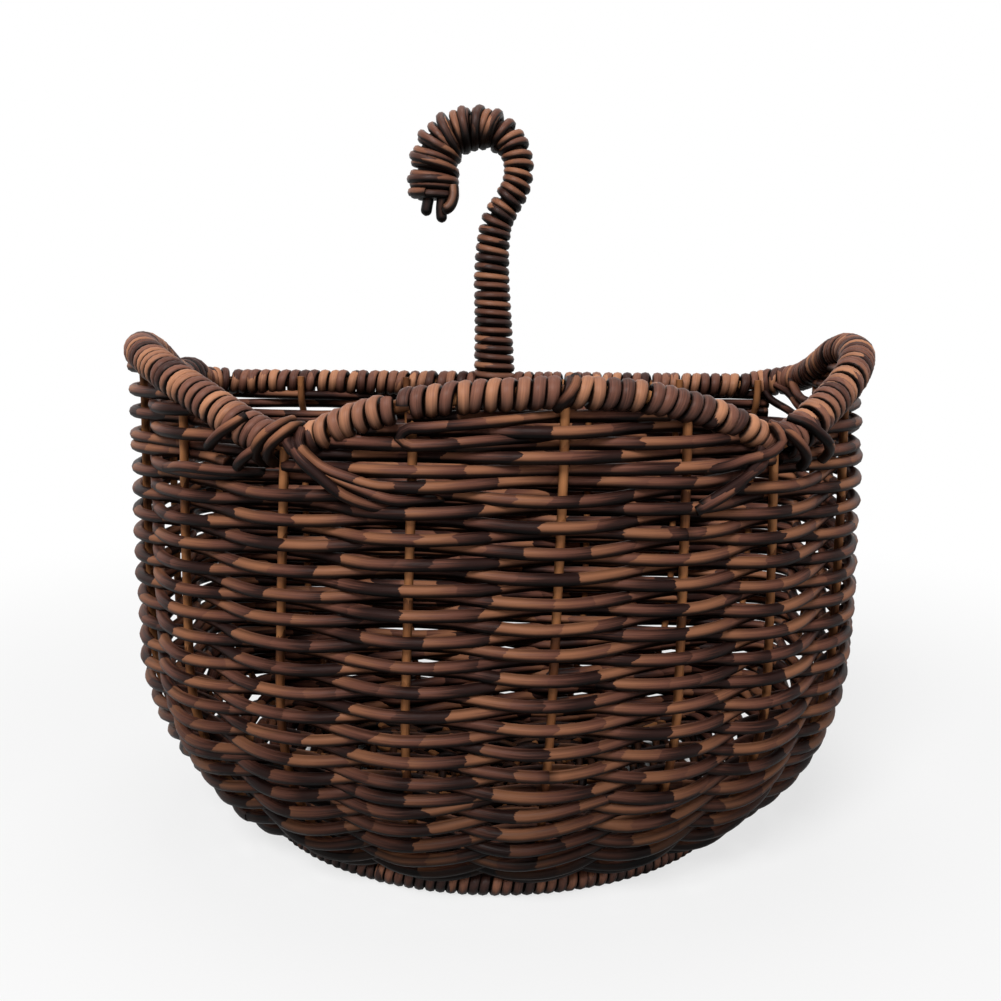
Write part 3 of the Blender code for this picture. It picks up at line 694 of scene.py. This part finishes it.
# The two weavers
for family, name in enumerate("ab"):
    last = TWINE_TURNS * STAKES + STAKES * (FIRST_SHORT_ROW - FIRST_PLAIN_ROW - family) / 2 + WEAVE_END
    spans = []
    while sum(spans) < last - WEAVE_START:
        spans.append(SHORTEST_CANE + CANE_SPREAD * LUCK.random())
    grow(f"weaver_{name}", weave_lines(family, last, spans), "weave", STAINED,
         [f"weaver_{name}{n}" for n in range(1, 7)], "stained_cane", Cane_Radius=WEAVER_RADIUS,
         Swing=WEAVE_SWING, Twist=WEAVE_TWIST, Wander=WEAVE_WANDER, Sides=10, Seed=3 + family)

# The short rows under the rim: numbers of the rows, first and last place, and how much lower they lie
SHORT_ROWS = [(range(FIRST_SHORT_ROW, 39), 7.0, 11.0, 0.0),
              (range(FIRST_SHORT_ROW, 44), 11.05, 13.98, 0.0),
              ([FIRST_SHORT_ROW - 1], 15.62, 24.95, 0.0012),
              (range(FIRST_SHORT_ROW, 44), 14.93, 24.95, 0.0003)]
rows = {"arch_fill": [], "back_fill": [], "left_ear_fill": [], "right_ear_fill": []}
for numbers, first, last, drop in SHORT_ROWS:
    for middle, line in short_rows(numbers, first, last, drop):
        rows[short_row_name(middle)].append(line)
for name, lines in rows.items():
    grow(name.replace("fill", "rows"), lines, "cane", STAINED, [name], "stained_cane",
         Cane_Radius=WEAVER_RADIUS, Sides=10, Seed=len(name))

# The stakes, each bent in under the base
for number in range(1, STAKES):
    low = np.linspace(0, 1, 22) ** 2 * (BELLY_HEIGHT - SEAT_HEIGHT) + SEAT_HEIGHT
    inside = number in BACK_STAKES
    top = BACK_STAKE_TOP if inside else float(rim_height(number))
    levels = np.concatenate([low, np.linspace(BELLY_HEIGHT, top, 40)[1:]])
    place = float(number) + CORNER_STAKE_SHIFT * (number in CORNER_STAKES)
    lean = np.clip((levels - LEAN_START) / LEAN_HEIGHT, 0, 1)[:, None] * inside
    lean = BACK_STAKE_LEAN * lean * lean * (3 - 2 * lean)
    upright = WALL.point(place, levels) - WALL.outward(place, levels) * lean
    middle = np.array([0, BACK_PLANE - FOOT_DEPTH / 2, BASE_LEVEL])
    foot = [middle + (upright[0] - middle) * share for share in np.linspace(0.06, 1, 12)[:-1]]
    line = {"points": steady(np.vstack([foot, upright])),
            "out": WALL.outward(float(number), BELLY_HEIGHT), "thick": 1.0}
    grow(f"upright_{number:02d}", [line], "cane", HONEY, [f"stake_{number:02d}"], "honey_cane",
         Cane_Radius=STAKE_RADIUS, Sides=10, Seed=number)

# The rim, and its bindings by name, runs of places, radius of what they are wound round, and pitch
core = np.arange(0.14, 17.87, 0.08)
grow("rim_core", [{"points": rim_point(core), "out": WALL.outward(core, BACK_HEIGHT), "thick": 1.0}],
     "cane", HONEY, ["rim_cane"], "honey_cane", Cane_Radius=RIM_CORE_RADIUS, Sides=12, Seed=2)
BINDINGS = [("back_left", [(0.16, 2.86)], 0.0034, 0.0056),
            ("left_ear", [(2.9, 6.96)], 0.0050, 0.0044),
            ("arch", [(7.06, 7.85), (7.95, 10.94)], 0.0029, 0.0055),
            ("right_ear", [(11.05, 15.12)], 0.0050, 0.0044),
            ("back_right", [(15.18, 17.84)], 0.0034, 0.0056)]
for name, runs, radius, pitch in BINDINGS:
    lines = [{"points": rim_point(np.linspace(*run, int((run[1] - run[0]) / 0.06))), "thick": radius}
             for run in runs]
    grow(f"{name}_wraps", lines, "wound", RIM, [f"{name}_binding"], "rim_cane",
         Strip_Half_Width=0.51 * pitch, Flatness=0.66, Turn_Pitch=pitch, Seed=len(name),
         Wander=1.0 if "ear" in name else 0.7)

# A second binding makes a knot on the far branch of the left ear
knot = np.linspace(3.28, 3.66, 16)
bulge = 0.0056 + 0.0026 * np.sin((knot - knot[0]) / (knot[-1] - knot[0]) * math.pi)
grow("left_ear_knot", [{"points": rim_point(knot), "thick": bulge, "tint": -0.2}], "wound", RIM,
     slot="rim_cane", Strip_Half_Width=0.0024, Flatness=0.7, Turn_Pitch=0.0046, Seed=14, Wander=0.6)

# The foot ring, thicker along a stretch of its front
around = np.arange(0.02, STAKES - 0.01, 0.08)
foot_front = (around > FOOT_FRONT_START) & (around < FOOT_FRONT_END)
foot_thick = FOOT_WRAPPED_RADIUS + FOOT_FRONT_EXTRA * foot_front
foot_points = ring(around, FOOT_HALF_WIDTH, FOOT_DEPTH, 0)
foot_points[:, 2] = foot_thick + FOOT_STRIP
grow("foot_core", [{"points": foot_points, "thick": 1.0}], "cane", HONEY, ["foot_cane"], "honey_cane",
     Cane_Radius=FOOT_CORE_RADIUS, Sides=10, Seed=4)
grow("foot_wraps", [{"points": foot_points, "thick": foot_thick, "tint": -0.22}], "wound", HOOK,
     ["foot_binding"], "dark_cane", Strip_Half_Width=0.0025, Flatness=0.6, Turn_Pitch=0.0048, Seed=9,
     Wander=0.4)

# The woven base, whose rounds go over and under the feet of the stakes. Its near-black colour is painted
# shade for the dim inside of the basket
rounds = []
for number, size in enumerate(np.linspace(0.05, 1.02, BASE_ROUNDS)):
    turn = np.arange(0, STAKES + 0.01, 0.06)
    points = ring(turn, SEAT_HALF_WIDTH * size, SEAT_DEPTH * size, BASE_LEVEL)
    points[:, 1] -= SEAT_DEPTH * max(1 - size, 0) / 2
    rounds.append({"points": points, "out": (0, 0, 1), "up": (0, 0, 0), "place": turn + number,
                   "twine": 0, "thick": 1.0})
grow("base_weave", rounds, "weave", PAINTED_SHADE_CANE, ["base_mat"], "dark_cane", Cane_Radius=BASE_CANE_RADIUS,
     Swing=BASE_SWING, Twist=0.0, Wander=0.0006, Sides=8, Seed=12)

# Loose ends, long loops of the bindings and the canes that cross the opening beside the right ear,
# each as its tint and its knots
LOOSE = [
    (.20, [(5.97, .191, .0072), (6.2, .193, .0085), (6.4, .193, .0078), (6.6, .1925, .004),
           (6.8, .192, -.003)]),
    (-.15, [(6.74, .215, .004), (6.68, .212, .008), (6.60, .209, .009), (6.50, .205, .008),
            (6.42, .202, .006)]),
    (.10, [(6.98, .209, .004), (6.90, .204, .008), (6.82, .201, .009), (6.72, .197, .007),
           (6.67, .195, .005)]),
    (.40, [(7.16, .212, .000), (7.14, .212, .006), (7.08, .209, .009), (7.00, .205, .0095),
           (6.95, .2005, .007), (6.93, .197, .001)]),
    (.45, [(7.08, .214, .000), (7.05, .213, .006), (6.98, .210, .009), (6.90, .205, .0095),
           (6.85, .2005, .007), (6.83, .197, .001)]),
    (-.05, [(7.10, .210, .004), (7.12, .206, .008), (7.26, .200, .008), (7.42, .195, .0075),
            (7.66, .190, .007), (7.90, .186, .006), (8.06, .1855, .002), (8.2, .185, -.003)]),
    (.15, [(7.20, .211, .004), (7.22, .206, .0085), (7.34, .199, .008), (7.58, .194, .0075),
           (7.80, .191, .006), (7.96, .191, .003), (8.08, .191, -.002)]),
    (-.20, [(7.13, .207, .006), (7.22, .202, .010), (7.42, .193, .010), (7.54, .188, .009),
            (7.70, .184, .006), (7.85, .182, .002), (8.0, .181, -.003)]),
    (.05, [(9.1, .2185, -.005), (8.75, .2170, .000), (8.38, .215, .004), (8.1, .2135, .0055),
           (7.97, .2125, .0055), (7.93, .2095, .0055), (7.99, .207, .0055), (8.12, .207, .0055),
           (8.4, .2085, .004), (8.7, .2095, .000), (9.05, .2100, -.006)]),
    (-.05, [(9.07, .2322, .001), (9.06, .2304, .0050), (9.02, .2272, .0066), (8.97, .2236, .0058),
            (8.94, .2210, .002)]),
    (.10, [(10.86, .2125, .004), (10.84, .211, .008), (10.87, .207, .0095), (10.78, .203, .009),
           (10.62, .201, .008), (10.5, .200, .007), (10.34, .198, .0065), (10.18, .197, .005),
           (10.0, .197, .002)]),
    (-.20, [(10.76, .200, .005), (10.70, .198, .007), (10.52, .194, .008), (10.28, .188, .0075),
            (10.08, .183, .006)]),
    (-.25, [(10.72, .204, .005), (10.62, .198, .007), (10.46, .192, .008), (10.24, .186, .0078),
            (10.03, .181, .006)]),
    (.25, [(10.93, .2125, .000), (10.97, .2105, .0068), (11.04, .2065, .0100), (11.12, .2020, .0100),
           (11.18, .1980, .0080), (11.20, .1945, .004)]),
    (.15, [(11.14, .2145, .000), (11.20, .2125, .0070), (11.28, .2080, .0103), (11.38, .2035, .0103),
           (11.44, .2000, .0080), (11.46, .1965, .004)]),
    (-.30, [(15.02, .217, -.004), (14.92, .210, -.006), (14.60, .2035, -.005), (14.2, .200, -.005),
            (13.8, .197, -.004)]),
    (-.25, [(14.95, .219, -.004), (14.62, .214, -.006), (14.2, .2075, -.006), (13.7, .203, -.005)]),
    (-.30, [(14.6, .223, -.004), (14.3, .216, -.007), (14.0, .212, -.007), (13.6, .211, -.005)]),
    (-.25, [(14.93, .2065, .004), (15.05, .2065, .004), (15.09, .2040, .000), (15.05, .2015, -.004),
            (14.93, .2015, -.004)]),
]
grow("loose_canes", [thread(knots, tint=tint) for tint, knots in LOOSE], "cane", STAINED,
     slot="stained_cane", Cane_Radius=LOOSE_RADIUS, Sides=10, Seed=21)

# The hook: x, height and radius under the winding. It stands on a thin cane in the back
HOOK_LINE = [(-.0008, .218, .0080), (-.0018, .251, .0067), (-.0028, .279, .0060), (-.0022, .292, .0055),
             (.0000, .305, .0050), (.0050, .314, .0046), (.0100, .323, .0044), (.0117, .333, .0044),
             (.0092, .343, .0048), (.0030, .3505, .0056), (-.0080, .3540, .0064), (-.0200, .3525, .0074),
             (-.0285, .3480, .0082), (-.0335, .3405, .0088), (-.0350, .3320, .0090), (-.0352, .3200, .0090),
             (-.0350, .3165, .0088)]
hook = spaced([(x + HOOK_SHIFT, BACK_PLANE, z, radius) for x, z, radius in HOOK_LINE], 0.002)
lower = [(HOOK_FOOT_X, BACK_PLANE, z, HOOK_FOOT_RADIUS)
         for z in np.linspace(SEAT_HEIGHT, HOOK_FOOT_TOP, 60)]
whole = np.vstack([lower, hook])
# The core's near-black colour is painted shade, seen in the gaps between the turns of the winding
grow("hook_upright", [{"points": whole[:, :3], "out": (0, -1, 0), "thick": whole[:, 3] / HOOK_CORE_RADIUS}],
     "cane", PAINTED_SHADE_CANE, ["hook_core"], "dark_cane", Cane_Radius=HOOK_CORE_RADIUS, Sides=12, Seed=5)
# Above=0.65 paints the upper side of each turn lighter and its lower side darker, as light from above would
grow("hook_winding", [{"points": hook[:, :3], "thick": hook[:, 3]}], "wound", HOOK,
     ["hook_stem_winding", "hook_crook_winding"], "stained_cane", Strip_Half_Width=0.0024,
     Flatness=0.85, Turn_Pitch=0.0049, Above=0.65, Seed=6, Wander=0.6)

# A second winding, with wider turns, lies over the last stretch of the crook
crook = hook[-34:-1]
grow("hook_top_winding", [{"points": crook[:, :3], "thick": crook[:, 3] + 0.0012}], "wound", HOOK,
     slot="stained_cane", Strip_Half_Width=0.0025, Flatness=0.85, Turn_Pitch=0.0083, Above=0.65,
     Seed=16, Wander=0.8, Start=2.0)

# Three short tails with rounded tips hang from the end of the hook
tails = []
for tint, knots in (
        (-.2, [(-.0385, .092, .322), (-.0402, .091, .3140), (-.0415, .091, .3070)]),
        (-.1, [(-.0318, .090, .319), (-.0327, .090, .3110), (-.0324, .090, .3034)]),
        (.4, [(-.0262, .090, .3225), (-.0262, .088, .3160), (-.0285, .0865, .3112), (-.0322, .0865, .3092)])):
    points = spaced(knots, 0.0006)
    left = np.linalg.norm(points - points[-1], axis=1)
    tip = np.sqrt(np.clip(1 - (1 - np.minimum(left / TAIL_TIP, 1)) ** 2, 0.02, 1))
    tails.append({"points": points, "out": (0, -1, 0), "thick": tip, "tint": tint})
grow("hook_tails", tails, "cane", HOOK, slot="stained_cane", Cane_Radius=TAIL_RADIUS, Sides=10, Seed=8)

# Floor, light and camera
floor_mesh = bpy.data.meshes.new("floor")
floor_mesh.from_pydata([(-4, -4, 0), (4, -4, 0), (4, 4, 0), (-4, 4, 0)], [], [(0, 1, 2, 3)])
floor_mesh.materials.append(floor_finish("floor_finish", colour=(0.90, 0.90, 0.90), far_white=0.72))
floor = bpy.data.objects.new("floor", floor_mesh)
bpy.context.collection.objects.link(floor)

world = bpy.data.worlds.new("studio")
bpy.context.scene.world = world
world.use_nodes = True
sky = Tree(world.node_tree)
rays = sky.node("ShaderNodeLightPath")
seen = Wire(sky, rays.outputs["Is Camera Ray"]).apply("MAXIMUM", rays.outputs["Is Glossy Ray"])
seen = seen.apply("MAXIMUM", rays.outputs["Is Transmission Ray"])
background = world.node_tree.nodes["Background"]
background.inputs["Color"].default_value = (1, 1, 1, 1)
sky.feed(background.inputs["Strength"], 0.10 + seen * 0.90)


def lamp(name, place, aim, size, power):
    """A round lamp that points at a place."""
    light = bpy.data.lights.new(name, "AREA")
    light.shape = "DISK"
    light.size, light.energy = size, power
    thing = bpy.data.objects.new(name, light)
    bpy.context.collection.objects.link(thing)
    thing.location = place
    thing.rotation_euler = (Vector(aim) - Vector(place)).to_track_quat("-Z", "Y").to_euler()


lamp("key", (-0.55, -1.5, 1.7), aim=(0, 0, 0.15), size=0.9, power=40)
lamp("fill", (1.3, -1.2, 0.9), aim=(0, 0, 0.15), size=1.0, power=4.5)
lamp("top", (0.0, 0.2, 2.0), aim=(0, 0, 0.1), size=0.8, power=8)

# The camera, with its focal length counted in pixels of a picture of this width
CAMERA_PLACE = (0.001, BACK_PLANE - 0.565, 0.2563)
CAMERA_DIP, CAMERA_ROLL = math.radians(10.9), math.radians(0.5)
FOCAL_PIXELS, PICTURE_PIXELS, SENSOR_WIDTH = 985, 1001, 36
view = bpy.data.cameras.new("camera")
view.sensor_width = SENSOR_WIDTH
view.lens = FOCAL_PIXELS / PICTURE_PIXELS * SENSOR_WIDTH
camera = bpy.data.objects.new("camera", view)
bpy.context.collection.objects.link(camera)
camera.matrix_world = (Matrix.Translation(CAMERA_PLACE)
                       @ Matrix.Rotation(math.pi / 2 - CAMERA_DIP, 4, "X")
                       @ Matrix.Rotation(CAMERA_ROLL, 4, "Z"))
bpy.context.scene.camera = camera
bpy.context.scene.view_settings.view_transform = "Standard"

bpy.context.view_layer.update()
